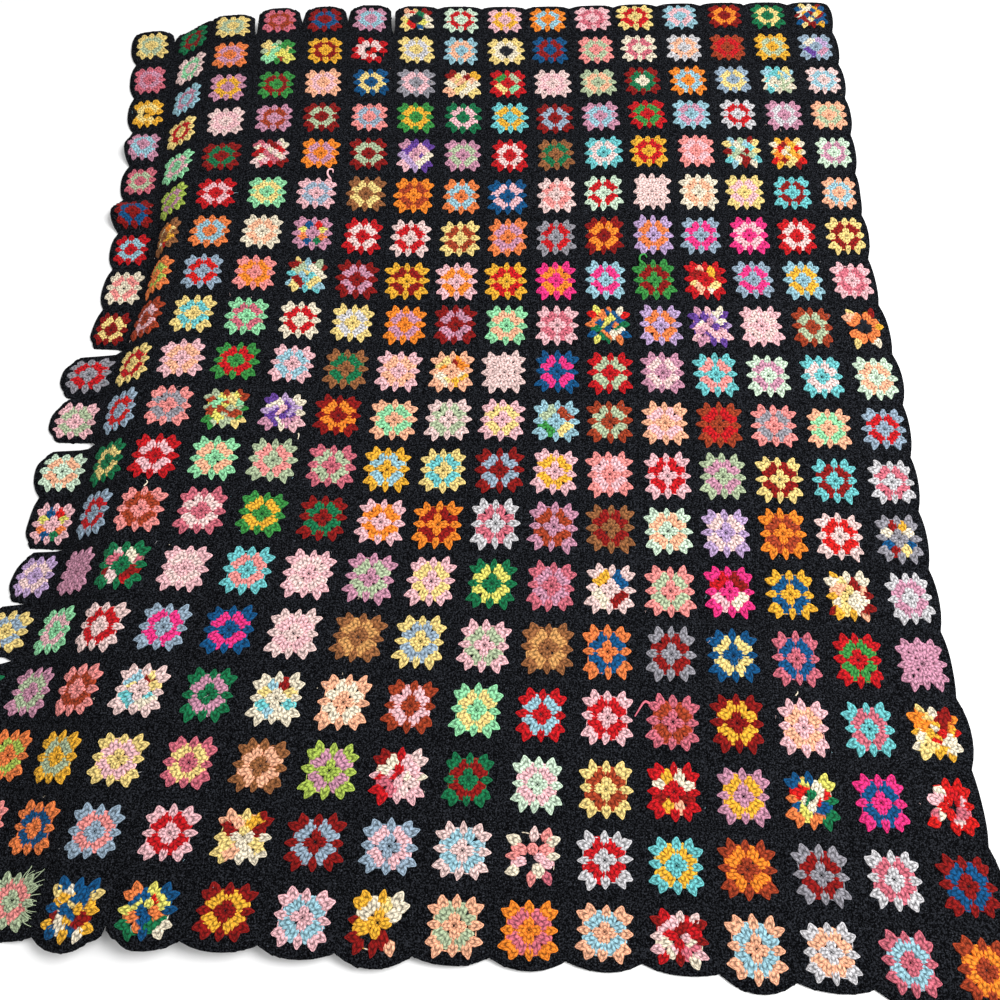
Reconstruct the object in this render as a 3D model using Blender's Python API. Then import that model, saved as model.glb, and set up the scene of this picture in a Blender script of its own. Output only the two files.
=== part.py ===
"""Granny square blanket, laid out on a floor with one soft fold down its left side.

The whole blanket is one piece of crochet: 16 columns by 19 rows of squares, joined
edge to edge. It is worked out flat first, as an outline with a scallop for each
border square and open slits where two border squares were never joined. It is then
laid over the fold, section by section. Metres, +Z up, +Y along the length, floor at 0.
"""

import math

import bpy
import numpy as np
from mathutils import Vector
from mathutils.geometry import delaunay_2d_cdt

# Driving sizes of the crochet, in metres
SQUARE = 0.095              # one square with its share of the joining seams
COLUMNS = 16
ROWS = 19
THICKNESS = 0.0045
CORNER_RADIUS = 0.022       # the blanket's four corners
TAB_CORNER = 0.011          # rounding of a square's corner beside a slit

# How each side's squares end, in metres. "inset" is how far the middle of a square's
# free edge lies inside the nominal edge, "scallop" is how much deeper its ends lie,
# and "fullness" is the power of the curve: 2 is a plain arc, more is squarer.
SIDE_FIELDS = ("side", "inset", "scallop", "fullness")
SIDES = (
    ("near", -0.003, 0.013, 2.2),
    ("right", 0.001, 0.007, 2.2),
    ("far", 0.006, 0.008, 3.6),
    ("left", 0.005, 0.012, 2.6),
)

# Border squares that reach further out than their neighbours, or less far. "square"
# counts from the left or the near edge, from 0, and "reach" is outwards, in metres.
REACH_FIELDS = ("side", "square", "reach")
REACHES = (
    ("near", 3, 0.009),
    ("near", 4, 0.003),
    ("near", 6, 0.004),
    ("near", 7, 0.010),
    ("near", 10, -0.006),
    ("near", 11, -0.010),
    ("near", 12, 0.003),
    ("near", 13, -0.007),
    ("right", 1, 0.004),
    ("right", 3, 0.008),
    ("right", 9, 0.004),
    ("right", 11, -0.003),
    ("right", 13, -0.005),
    ("right", 14, -0.004),
    ("far", 0, 0.008),
    ("far", 1, -0.005),
    ("far", 2, -0.014),
    ("far", 5, 0.003),
    ("left", 5, -0.014),
    ("left", 6, -0.004),
    ("left", 7, 0.010),
    ("left", 8, 0.007),
    ("left", 9, 0.012),
    ("left", 10, -0.015),
    ("left", 11, -0.008),
    ("left", 12, -0.004),
    ("left", 13, -0.001),
    ("left", 14, -0.008),
    ("left", 15, -0.013),
    ("left", 16, -0.006),
    ("left", 17, -0.004),
)

# Slits between two border squares. "seam" counts squares from the left or the near
# edge, and "mouth" and "root" are the gap's widths at its two ends, in metres.
SLIT_FIELDS = ("side", "seam", "depth", "mouth", "root")
SLITS = (
    ("near", 4, 0.016, 0.014, 0.008),
    ("far", 1, 0.032, 0.014, 0.003),
    ("far", 3, 0.080, 0.010, 0.004),
    ("far", 4, 0.046, 0.018, 0.003),
    ("far", 5, 0.042, 0.016, 0.003),
    ("far", 6, 0.080, 0.010, 0.006),
    ("left", 4, 0.070, 0.018, 0.010),
    ("left", 5, 0.046, 0.014, 0.003),
    ("left", 6, 0.078, 0.009, 0.003),
    ("left", 8, 0.086, 0.020, 0.012),
    ("left", 9, 0.026, 0.012, 0.003),
    ("left", 10, 0.086, 0.022, 0.010),
)
SLIT_CURVE = 0.8            # how a slit narrows inwards: 1 is straight, less is rounder

# Sections across the blanket, one every three squares. "along" is its place, and "foot",
# "crest" and "toe" are where the fold starts to rise, is highest and has run out, in
# squares from the near or left edge. "width" is how far the crochet is pulled out
# sideways. The rest are metres: the left edge's x, how far the section's left end,
# middle and right end lie ahead of a straight row, and the fold's height.
SECTION_FIELDS = (
    "along", "left_x", "left_y", "middle_y", "right_y", "height", "foot", "crest", "toe", "width",
)
SECTIONS = (
    (0.0, -0.845, 0.025, 0.005, -0.055, 0.030, 2.5, 3.5, 11.0, 1.08),
    (3.0, -0.765, 0.030, 0.000, -0.025, 0.060, 1.25, 3.0, 13.0, 1.02),
    (6.0, -0.695, 0.010, 0.010, -0.005, 0.065, 0.75, 2.25, 9.0, 0.975),
    (9.0, -0.680, 0.000, 0.015, 0.005, 0.050, 0.75, 2.0, 7.0, 0.965),
    (12.0, -0.655, -0.015, 0.015, 0.025, 0.045, 1.0, 1.75, 7.5, 0.945),
    (15.0, -0.670, -0.060, 0.020, 0.040, 0.045, 0.75, 2.0, 10.0, 0.955),
    (19.0, -0.705, -0.080, 0.005, 0.035, 0.035, 1.25, 2.25, 10.5, 0.975),
)
CLIMB = 1.25                # how the fold rises: 1 is a plain slope, more is rounder at both ends
LEAST_RUN = 0.1             # least share of its width that a stretch covers, however steep

# Low swells where the crochet doesn't lie quite flat: middle and reach in squares,
# height in metres.
SWELL_FIELDS = ("across", "along", "reach_across", "reach_along", "height")
SWELLS = (
    (8.8, 6.5, 2.2, 3.5, 0.012),
    (13.0, 3.6, 2.4, 2.2, 0.007),
    (11.5, 14.0, 2.5, 3.0, 0.007),
    (0.2, 13.5, 0.9, 0.50, 0.018),
    (0.2, 15.45, 0.9, 0.50, 0.016),
)

# Fineness of the mesh
EDGE_STEPS = (0.0, 0.10, 0.32, 0.68, 0.90)      # places along a square's free edge
CORNER_STEPS = 0.3                              # share of them that a corner's rounding replaces
TAB_STEPS = (0.0, 0.12, 0.45)                   # places round a square's corner beside a slit
SLIT_STEPS = (0.0, 0.33, 0.67, 1.0)             # places down one side of a slit, past its corner
CORNER_ANGLES = (15, 45, 75)                    # degrees round a corner
FOLD_WIDTH = 4.5                                # squares with the closest mesh
SLOPE_WIDTH = 10.0                              # squares to the end of the long slope
FOLD_SPACING = 0.25                             # squares between points, in each part
SLOPE_SPACING = 0.5
FLAT_SPACING = 1.0
ROW_SPACING = 0.5
CLEARANCE = 0.14                                # squares from the outline to inner points
JOIN_WITHIN = 1e-5                              # squares between points that are one
LAY_MARGIN = 0.2                                # squares that the lay reaches past the edges
LAY_STEP = 0.05

CROCHET_COLOUR = (0.012, 0.014, 0.022, 1.0)
CROCHET_ROUGHNESS = 0.95


def rows_of(fields, table):
    """Turns a table into one dictionary a row, so that its columns are read by name."""
    return [dict(zip(fields, row)) for row in table]


def half_gap(slit, depth, lip):
    """Half the width of a slit, in metres, at a distance in from the nominal edge."""
    open_part = max(0.0, 1.0 - depth / slit["depth"]) ** SLIT_CURVE
    wedge = slit["root"] + (slit["mouth"] - slit["root"]) * open_part
    to_round = min(TAB_CORNER, max(0.0, TAB_CORNER + lip - depth))
    return 0.5 * wedge + TAB_CORNER - math.sqrt(TAB_CORNER**2 - to_round**2)


def side_place(side, along_side, depth):
    """A flat point in squares, from its place along a side and its depth in metres."""
    inwards = depth / SQUARE
    return {
        "near": (along_side, inwards),
        "right": (COLUMNS - inwards, along_side),
        "far": (along_side, ROWS - inwards),
        "left": (inwards, along_side),
    }[side]


def pushed_out(depth, reach):
    """A depth moved outwards by a square's reach, less and less across the square."""
    return depth - reach * max(0.0, 1.0 - depth / SQUARE)


def slit_outline(side, slit, reach_before, reach_after):
    """In along one edge of a slit and out along the other."""
    lip = side["inset"] + side["scallop"]
    rounded = min(TAB_CORNER, slit["depth"] - lip)
    depths = [lip + rounded * step for step in TAB_STEPS]
    depths += [lip + rounded + (slit["depth"] - lip - rounded) * step for step in SLIT_STEPS]
    way_in = [(-half_gap(slit, depth, lip), pushed_out(depth, reach_before)) for depth in depths]
    way_out = [(half_gap(slit, depth, lip), pushed_out(depth, reach_after)) for depth in depths[::-1]]
    return [side_place(side["side"], slit["seam"] + gap / SQUARE, depth) for gap, depth in way_in + way_out]


def reach_at(square, step, reaches, slits):
    """A square's reach at a step along its free edge, blended into a joined neighbour's."""
    own = reaches.get(square, 0.0)
    seam = square + 1 if step > 0.5 else square
    if seam in slits:
        return own
    neighbour = reaches.get(square + 1 if step > 0.5 else square - 1, 0.0)
    return own + (neighbour - own) * 2.0 * (step - 0.5) ** 2


def side_outline(side):
    """One side of the blanket, square by square, with its scallops and slits."""
    slits = {slit["seam"]: slit for slit in rows_of(SLIT_FIELDS, SLITS) if slit["side"] == side["side"]}
    rows = [row for row in rows_of(REACH_FIELDS, REACHES) if row["side"] == side["side"]]
    reaches = {row["square"]: row["reach"] for row in rows}
    lip = side["inset"] + side["scallop"]
    count = COLUMNS if side["side"] in ("near", "far") else ROWS
    points = []
    for square in range(count):
        start, end = float(square), square + 1.0
        if square in slits:
            start += half_gap(slits[square], lip, lip) / SQUARE
        if square + 1 in slits:
            end -= half_gap(slits[square + 1], lip, lip) / SQUARE
        for step in EDGE_STEPS:
            in_first_corner = square == 0 and step <= CORNER_STEPS
            in_last_corner = square == count - 1 and step >= 1.0 - CORNER_STEPS
            if not (in_first_corner or in_last_corner):
                bow = abs(2.0 * step - 1.0) ** side["fullness"]
                reach = reach_at(square, step, reaches, slits)
                depth = pushed_out(side["inset"] + side["scallop"] * bow, reach)
                points.append(side_place(side["side"], start + (end - start) * step, depth))
        if square + 1 in slits:
            reach_before, reach_after = reaches.get(square, 0.0), reaches.get(square + 1, 0.0)
            points += slit_outline(side, slits[square + 1], reach_before, reach_after)
    return points


def corner_outline(sides, low_angle, across_side, along_side):
    """A quarter round corner between two sides, anticlockwise."""
    reach_across = (sides[across_side]["inset"] + CORNER_RADIUS) / SQUARE
    reach_along = (sides[along_side]["inset"] + CORNER_RADIUS) / SQUARE
    centre_across = reach_across if across_side == "left" else COLUMNS - reach_across
    centre_along = reach_along if along_side == "near" else ROWS - reach_along
    radius = CORNER_RADIUS / SQUARE
    angles = [math.radians(low_angle + angle) for angle in CORNER_ANGLES]
    return [(centre_across + radius * math.cos(a), centre_along + radius * math.sin(a)) for a in angles]


def blanket_outline():
    """The whole edge in squares, anticlockwise from the near left corner."""
    sides = {side["side"]: side for side in rows_of(SIDE_FIELDS, SIDES)}
    outline = corner_outline(sides, 180, "left", "near")
    outline += side_outline(sides["near"])
    outline += corner_outline(sides, 270, "right", "near")
    outline += side_outline(sides["right"])
    outline += corner_outline(sides, 0, "right", "far")
    outline += side_outline(sides["far"])[::-1]
    outline += corner_outline(sides, 90, "left", "far")
    outline += side_outline(sides["left"])[::-1]
    return outline


def inner_points(outline):
    """A grid inside the outline, close over the fold and wider on the flat."""
    edge = np.array(outline)
    across = np.concatenate([
        np.arange(FOLD_SPACING, FOLD_WIDTH, FOLD_SPACING),
        np.arange(FOLD_WIDTH, SLOPE_WIDTH, SLOPE_SPACING),
        np.arange(SLOPE_WIDTH, COLUMNS, FLAT_SPACING),
    ])
    along = np.arange(ROW_SPACING * 0.5, ROWS, ROW_SPACING)
    points = []
    for u in across:
        for v in along:
            if np.hypot(edge[:, 0] - u, edge[:, 1] - v).min() > CLEARANCE:
                points.append((u, v))
    return points


def through_sections(field, along):
    """One column of SECTIONS as a smooth curve along the blanket."""
    sections = rows_of(SECTION_FIELDS, SECTIONS)
    places = np.array([section["along"] for section in sections])
    values = np.array([section[field] for section in sections])
    slopes = np.gradient(values, places)
    i = np.clip(np.searchsorted(places, along) - 1, 0, len(places) - 2)
    gap = places[i + 1] - places[i]
    t = (along - places[i]) / gap
    ends = (2 * t**3 - 3 * t**2 + 1) * values[i] + (3 * t**2 - 2 * t**3) * values[i + 1]
    return ends + gap * ((t**3 - 2 * t**2 + t) * slopes[i] + (t**3 - t**2) * slopes[i + 1])


def lay_heights(across, along):
    """How far the crochet is lifted off the floor, for each row and column."""
    height, foot, crest, toe = (
        through_sections(field, along)[:, None] for field in ("height", "foot", "crest", "toe")
    )
    rising = np.clip((across - foot) / (crest - foot), 0.0, 1.0)
    falling = np.clip((across - crest) / (toe - crest), 0.0, 1.0)
    climbed = rising**CLIMB / (rising**CLIMB + (1.0 - rising) ** CLIMB)
    share = np.where(across < crest, climbed, 0.5 + 0.5 * np.cos(np.pi * falling))
    lift = height * share
    for swell in rows_of(SWELL_FIELDS, SWELLS):
        reach = np.hypot(
            (across - swell["across"]) / swell["reach_across"],
            (along[:, None] - swell["along"]) / swell["reach_along"],
        )
        lift += swell["height"] * (0.5 + 0.5 * np.cos(np.pi * np.clip(reach, 0.0, 1.0)))
    return lift


def lay_table():
    """Where the middle of the crochet lies, and which way it faces, on a fine grid."""
    across = np.arange(-LAY_MARGIN, COLUMNS + LAY_MARGIN + LAY_STEP, LAY_STEP)
    along = np.arange(-LAY_MARGIN, ROWS + LAY_MARGIN + LAY_STEP, LAY_STEP)
    lift = lay_heights(across, along)
    pulled_out = SQUARE * LAY_STEP * through_sections("width", along)[:, None]
    climb = np.diff(lift, axis=1)
    run = np.sqrt(np.maximum(pulled_out**2 - climb**2, (LEAST_RUN * pulled_out) ** 2))
    x = np.concatenate([np.zeros((len(along), 1)), np.cumsum(run, axis=1)], axis=1)
    left_column = int(round(LAY_MARGIN / LAY_STEP))
    x += through_sections("left_x", along)[:, None] - x[:, left_column : left_column + 1]
    part = across / COLUMNS
    ahead = through_sections("left_y", along)[:, None] * (1 - part) * (1 - 2 * part)
    ahead += through_sections("middle_y", along)[:, None] * 4 * part * (1 - part)
    ahead += through_sections("right_y", along)[:, None] * part * (2 * part - 1)
    y = (along[:, None] - 0.5 * ROWS) * SQUARE + ahead
    places = np.stack([x, y, lift], axis=2)
    facing = np.cross(np.gradient(places, axis=1), np.gradient(places, axis=0))
    facing /= np.linalg.norm(facing, axis=2, keepdims=True)
    return places, facing


def read_table(table, points):
    """The table's value at each flat point, between its four nearest entries."""
    column = (points[:, 0] + LAY_MARGIN) / LAY_STEP
    row = (points[:, 1] + LAY_MARGIN) / LAY_STEP
    i = np.floor(column).astype(int)
    j = np.floor(row).astype(int)
    right = (column - i)[:, None]
    ahead = (row - j)[:, None]
    near = table[j, i] * (1 - right) + table[j, i + 1] * right
    far = table[j + 1, i] * (1 - right) + table[j + 1, i + 1] * right
    return near * (1 - ahead) + far * ahead


def crochet_mesh():
    """The blanket as one closed sheet: an upper and an under face, and a rim."""
    outline = blanket_outline()
    flat = [Vector(point) for point in outline + inner_points(outline)]
    flat, _, faces, *_ = delaunay_2d_cdt(flat, [], [list(range(len(outline)))], 1, JOIN_WITHIN)
    points = np.array([tuple(point) for point in flat])
    places, facing = lay_table()
    middle = read_table(places, points)
    half = read_table(facing, points) * (0.5 * THICKNESS)
    lifted = middle + np.array([0.0, 0.0, 0.5 * THICKNESS])
    upper = lifted + half
    under = lifted - half
    vertices = np.concatenate([upper, under])
    vertices[:, :2] -= 0.5 * (vertices[:, :2].min(axis=0) + vertices[:, :2].max(axis=0))

    count = len(points)
    edges = set()
    solid = []
    for a, b, c in faces:
        solid += [(a, b, c), (c + count, b + count, a + count)]
        edges.update(((a, b), (b, c), (c, a)))
    for a, b in sorted(edges):
        if (b, a) not in edges:
            solid += [(b, a, a + count), (b, a + count, b + count)]
    mesh = bpy.data.meshes.new("blanket")
    mesh.from_pydata([tuple(v) for v in vertices], [], solid)
    mesh.validate()
    return mesh


def crochet_material():
    material = bpy.data.materials.new("black wool crochet")
    material.use_nodes = True
    shader = material.node_tree.nodes["Principled BSDF"]
    shader.inputs["Base Color"].default_value = CROCHET_COLOUR
    shader.inputs["Roughness"].default_value = CROCHET_ROUGHNESS
    return material


def main():
    for leftover in list(bpy.data.objects):
        bpy.data.objects.remove(leftover)
    blanket = bpy.data.objects.new("blanket", crochet_mesh())
    blanket.data.materials.append(crochet_material())
    bpy.context.scene.collection.objects.link(blanket)


main()
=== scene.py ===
import math

import bmesh
import bpy
import numpy as np
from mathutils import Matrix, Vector


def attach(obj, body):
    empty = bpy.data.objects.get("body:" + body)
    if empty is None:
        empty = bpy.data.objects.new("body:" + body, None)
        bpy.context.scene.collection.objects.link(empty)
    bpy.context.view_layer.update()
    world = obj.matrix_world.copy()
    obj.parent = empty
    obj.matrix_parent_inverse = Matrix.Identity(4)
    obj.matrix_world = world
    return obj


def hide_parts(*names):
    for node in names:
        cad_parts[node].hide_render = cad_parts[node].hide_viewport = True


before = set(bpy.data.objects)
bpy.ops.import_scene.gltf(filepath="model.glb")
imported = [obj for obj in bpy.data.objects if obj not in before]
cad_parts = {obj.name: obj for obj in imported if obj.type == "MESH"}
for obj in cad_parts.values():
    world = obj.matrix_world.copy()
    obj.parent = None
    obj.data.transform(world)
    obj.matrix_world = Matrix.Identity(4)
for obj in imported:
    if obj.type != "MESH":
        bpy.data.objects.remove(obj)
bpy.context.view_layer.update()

# The blanket is worked out flat, in squares, and then laid over its soft fold. "across"
# counts squares from the left edge and "along" from the near edge. The tables of the
# outline and of the fold say the same as in the solid. Lengths are in metres.
SQUARE = 0.095
COLUMNS = 16
ROWS = 19
THICKNESS = 0.0045

# How each side's squares end. "inset" is how far the middle of a square's free edge lies
# inside the nominal edge, "scallop" is how much deeper its ends lie, and "fullness" is the
# power of the curve: 2 is a plain arc, more is squarer.
SIDE_FIELDS = ("side", "inset", "scallop", "fullness")
SIDES = (
    ("near", -0.003, 0.013, 2.2),
    ("right", 0.001, 0.007, 2.2),
    ("far", 0.006, 0.008, 3.6),
    ("left", 0.005, 0.012, 2.6),
)
CORNER_SCALLOP = 0.007      # scallop of a corner square's edge, towards the corner

# Border squares that reach further out than their neighbours, or less far. "square" counts
# from the left or the near edge, from 0.
REACH_FIELDS = ("side", "square", "reach")
REACHES = (
    ("near", 3, 0.009), ("near", 4, 0.003), ("near", 6, 0.004), ("near", 7, 0.010),
    ("near", 10, -0.006), ("near", 11, -0.010), ("near", 12, 0.003), ("near", 13, -0.007),
    ("right", 1, 0.004), ("right", 3, 0.008), ("right", 9, 0.004), ("right", 11, -0.003),
    ("right", 13, -0.005), ("right", 14, -0.004),
    ("far", 0, 0.008), ("far", 1, -0.005), ("far", 2, -0.014), ("far", 5, 0.003),
    ("left", 5, -0.014), ("left", 6, -0.004), ("left", 7, 0.010), ("left", 8, 0.007),
    ("left", 9, 0.012), ("left", 10, -0.015), ("left", 11, -0.008), ("left", 12, -0.004),
    ("left", 13, -0.001), ("left", 14, -0.008), ("left", 15, -0.013), ("left", 16, -0.006),
    ("left", 17, -0.004),
)

# Slits between two border squares. "seam" counts squares from the left or the near edge,
# and "mouth" and "root" are the gap's widths at its two ends.
SLIT_FIELDS = ("side", "seam", "depth", "mouth", "root")
SLITS = (
    ("near", 4, 0.016, 0.014, 0.008),
    ("far", 1, 0.032, 0.014, 0.003),
    ("far", 3, 0.080, 0.010, 0.004),
    ("far", 4, 0.046, 0.018, 0.003),
    ("far", 5, 0.042, 0.016, 0.003),
    ("far", 6, 0.080, 0.010, 0.006),
    ("left", 4, 0.070, 0.018, 0.010),
    ("left", 5, 0.046, 0.014, 0.003),
    ("left", 6, 0.078, 0.009, 0.003),
    ("left", 8, 0.086, 0.020, 0.012),
    ("left", 9, 0.026, 0.012, 0.003),
    ("left", 10, 0.086, 0.022, 0.010),
)
SLIT_CURVE = 0.8            # how a slit narrows inwards: 1 is straight, less is rounder
TAB_CORNER = 0.011          # rounding of a square's corner beside a slit
EDGE_FADE = 0.042           # how far in the scallops still draw the crochet
SLIT_FADE = 0.040           # how far along the edge a slit still does
ROOT_FADE = 0.008           # how far past its root

# Sections across the blanket, one every three squares. "along" is its place, and "foot",
# "crest" and "toe" are where the fold starts to rise, is highest and has run out, in
# squares. "width" is how far the crochet is pulled out sideways. The rest are metres: the
# left edge's x, how far the section's left end, middle and right end lie ahead of a
# straight row, and the fold's height.
SECTION_FIELDS = (
    "along", "left_x", "left_y", "middle_y", "right_y", "height", "foot", "crest", "toe", "width",
)
SECTIONS = (
    (0.0, -0.845, 0.025, 0.005, -0.055, 0.030, 2.5, 3.5, 11.0, 1.08),
    (3.0, -0.765, 0.030, 0.000, -0.025, 0.060, 1.25, 3.0, 13.0, 1.02),
    (6.0, -0.695, 0.010, 0.010, -0.005, 0.065, 0.75, 2.25, 9.0, 0.975),
    (9.0, -0.680, 0.000, 0.015, 0.005, 0.050, 0.75, 2.0, 7.0, 0.965),
    (12.0, -0.655, -0.015, 0.015, 0.025, 0.045, 1.0, 1.75, 7.5, 0.945),
    (15.0, -0.670, -0.060, 0.020, 0.040, 0.045, 0.75, 2.0, 10.0, 0.955),
    (19.0, -0.705, -0.080, 0.005, 0.035, 0.035, 1.25, 2.25, 10.5, 0.975),
)
CLIMB = 1.25                # how the fold rises: 1 is a plain slope, more is rounder at both ends
LEAST_RUN = 0.1             # least share of its width that a stretch covers, however steep

# Low swells in the field and under tabs of the left edge. Places and reaches are in squares.
SWELL_FIELDS = ("across", "along", "reach_across", "reach_along", "height")
SWELLS = (
    (8.8, 6.5, 2.2, 3.5, 0.012),
    (13.0, 3.6, 2.4, 2.2, 0.007),
    (11.5, 14.0, 2.5, 3.0, 0.007),
    (0.2, 13.5, 0.9, 0.50, 0.018),
    (0.2, 15.45, 0.9, 0.50, 0.016),
)
LAY_MARGIN = 0.2            # squares that the lay reaches past the edges
LAY_STEP = 0.05             # squares between its entries
BOX_STEPS = 11              # points along a square's side that find the box's middle

# A granny square, in parts of its coloured half width: each round's bunches of three
# posts, from the middle of the base towards the tip.
MOTIF = 0.40 * SQUARE
BUNCH_FIELDS = ("base", "tip", "width")
ROUNDS = {
    "centre": (((0.00, 0.00), (0.00, 0.48), 0.45),),
    "second": (((0.14, 0.19), (0.33, 0.80), 0.50), ((0.19, 0.14), (0.80, 0.33), 0.50)),
    "corner": (((0.44, 0.47), (0.66, 1.045), 0.48), ((0.47, 0.44), (1.045, 0.66), 0.48)),
    "side": (((0.00, 0.47), (0.00, 1.055), 0.42),),
    "chain": (((0.10, 0.81), (0.50, 0.80), 0.09), ((0.81, 0.10), (0.80, 0.50), 0.09)),
    "black": (
        ((-0.30, 0.72), (-0.30, 1.18), 0.56), ((0.30, 0.72), (0.30, 1.18), 0.56),
        ((-0.88, 0.76), (-0.92, 1.18), 0.60), ((0.88, 0.76), (0.92, 1.18), 0.60),
    ),
}
CROWNS = {                  # how high each round's bunches stand
    "centre": 0.0062, "second": 0.0052, "corner": 0.0062,
    "side": 0.0062, "chain": 0.0036, "black": 0.0032,
}
# How large a line's and a column's squares are worked, as a share of MOTIF, from the far
# edge and from the left.
LINE_SIZES = ((1, 0.955), (5, 0.96), (8, 1.0), (13, 1.01), (16, 0.945), (19, 0.935))
COLUMN_SIZES = ((1, 0.955), (5, 0.955), (7, 1.0), (13, 1.0), (15, 0.955), (16, 0.955))
WORKED_TALL = (0.985, 1.015)      # across and along, for every square
ROUND_YARN = {"centre": 2, "second": 1, "corner": 0, "side": 0, "chain": 0}  # place in a dealt square

# Yarns as the eye sees them, red, green and blue from 0 to 1.
YARNS = {
    "cream": (0.91, 0.86, 0.76), "blush": (0.92, 0.79, 0.77), "baby pink": (0.93, 0.72, 0.74),
    "salmon": (0.94, 0.57, 0.55), "rose": (0.80, 0.41, 0.47), "mauve": (0.78, 0.55, 0.64),
    "lilac": (0.73, 0.62, 0.78), "purple": (0.39, 0.25, 0.58), "hot pink": (0.93, 0.20, 0.50),
    "cherry": (0.76, 0.08, 0.11), "crimson": (0.54, 0.08, 0.07), "scarlet": (0.82, 0.10, 0.09),
    "rust": (0.63, 0.24, 0.13), "brown": (0.58, 0.37, 0.22), "tan": (0.80, 0.58, 0.34),
    "peach": (0.96, 0.70, 0.56), "orange": (0.95, 0.53, 0.16), "tangerine": (0.91, 0.49, 0.26),
    "gold": (0.92, 0.68, 0.20), "butter": (0.93, 0.82, 0.51), "lemon": (0.87, 0.84, 0.40),
    "lime": (0.66, 0.75, 0.32), "sage": (0.68, 0.74, 0.60), "mint": (0.56, 0.84, 0.63),
    "pale mint": (0.80, 0.89, 0.79), "green": (0.22, 0.55, 0.25), "emerald": (0.08, 0.44, 0.27),
    "aqua": (0.42, 0.76, 0.77), "sky": (0.58, 0.75, 0.80), "grey blue": (0.58, 0.66, 0.73),
    "petrol": (0.05, 0.31, 0.50), "grey": (0.58, 0.57, 0.60), "pale grey": (0.80, 0.79, 0.80),
    "black": (0.11, 0.12, 0.15),
}

# Yarns that change colour as they run off the ball.
VARIEGATED = {
    "sunset": ("crimson", "orange", "butter", "cream", "gold", "scarlet"),
    "bonfire": ("cream", "gold", "crimson", "peach", "butter", "cream"),
    "meadow": ("green", "butter", "mint", "lemon", "rust", "sage"),
    "pansy": ("purple", "lilac", "cream", "purple", "mauve", "baby pink"),
    "candy": ("cherry", "baby pink", "cream", "rose", "blush", "crimson"),
    "blossom": ("salmon", "cream", "baby pink", "cream", "rose", "blush"),
    "harbour": ("petrol", "gold", "cream", "crimson", "petrol", "butter"),
    "carnival": ("scarlet", "lemon", "petrol", "tangerine", "emerald", "cream"),
    "shore": ("aqua", "cream", "sage", "crimson", "butter", "sky"),
}

# The scrap bag. "outer" is the yarn of a square's centre and outer coloured round,
# "squares" is how many squares it makes, and "second" is what its second round is
# made of, taken in turn.
SCRAP_FIELDS = ("outer", "squares", "second")
SCRAPS = (
    ("baby pink", 29, (
        "sky", "cherry", "blush", "gold", "peach", "butter", "rose", "sage", "orange",
    )),
    ("salmon", 13, ("grey blue", "sage", "rust", "orange", "baby pink", "grey")),
    ("rose", 9, ("sage", "mauve", "petrol", "sky", "butter", "blush", "rust")),
    ("mauve", 17, ("sky", "sage", "gold", "rust", "pale grey", "blush", "mauve")),
    ("blush", 18, ("baby pink", "sage", "scarlet", "sky", "cherry", "blush", "mint", "salmon")),
    ("crimson", 20, ("orange", "butter", "grey blue", "petrol", "mauve", "emerald", "gold", "sage")),
    ("cherry", 15, ("blush", "sage", "sky", "baby pink", "grey blue", "green")),
    ("rust", 8, ("sage", "orange", "cherry", "baby pink")),
    ("brown", 8, ("emerald", "tan", "peach", "crimson", "butter")),
    ("butter", 17, (
        "cherry", "aqua", "pale grey", "sage", "rust", "grey blue", "baby pink", "crimson",
    )),
    ("gold", 9, ("sage", "crimson", "petrol", "cherry", "sky")),
    ("tangerine", 8, ("petrol", "lime", "sky", "mauve")),
    ("orange", 8, ("rust", "sky", "mauve", "crimson", "rose")),
    ("peach", 11, ("sky", "mint", "baby pink", "cream", "sage")),
    ("cream", 6, ("peach", "cherry", "sage", "salmon", "rose")),
    ("grey blue", 14, ("cherry", "hot pink", "baby pink", "butter", "scarlet", "salmon")),
    ("sky", 9, ("baby pink", "peach", "mauve", "hot pink", "gold")),
    ("aqua", 10, ("blush", "gold", "salmon", "crimson", "rose")),
    ("grey", 10, ("cherry", "baby pink", "crimson", "blush")),
    ("pale grey", 9, ("rose", "cherry", "peach", "mauve")),
    ("pale mint", 10, ("baby pink", "peach", "mauve", "cherry")),
    ("mint", 7, ("baby pink", "peach", "butter", "rose")),
    ("sage", 6, ("salmon", "peach", "mauve")),
    ("green", 5, ("gold", "crimson", "cherry")),
    ("emerald", 9, ("baby pink", "butter", "crimson", "lemon", "mauve")),
    ("petrol", 7, ("hot pink", "butter", "baby pink", "crimson")),
    ("lilac", 5, ("blush", "tangerine", "sage")),
    ("hot pink", 4, ("petrol", "baby pink", "orange")),
    ("lime", 3, ("mauve", "baby pink")),
)
SCRAPS_LEFT = ("sunset", "bonfire", "meadow", "pansy", "candy", "harbour", "carnival", "shore")

SQUARES_A_YARN = 3          # squares that each variegated yarn makes alone
SQUARES_A_SECOND = 2        # and those where it is the second round
RUN_COLOURS = 6             # colours in a variegated yarn's run
RUN_STEP = 0.5              # how far along the run each next bunch starts, in colours
RUN_HOLD = 0.75             # a bunch that starts later than this in a colour ends in the next
SWAP_TRIES = 12             # how often a square is swapped to part it from its like

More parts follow.
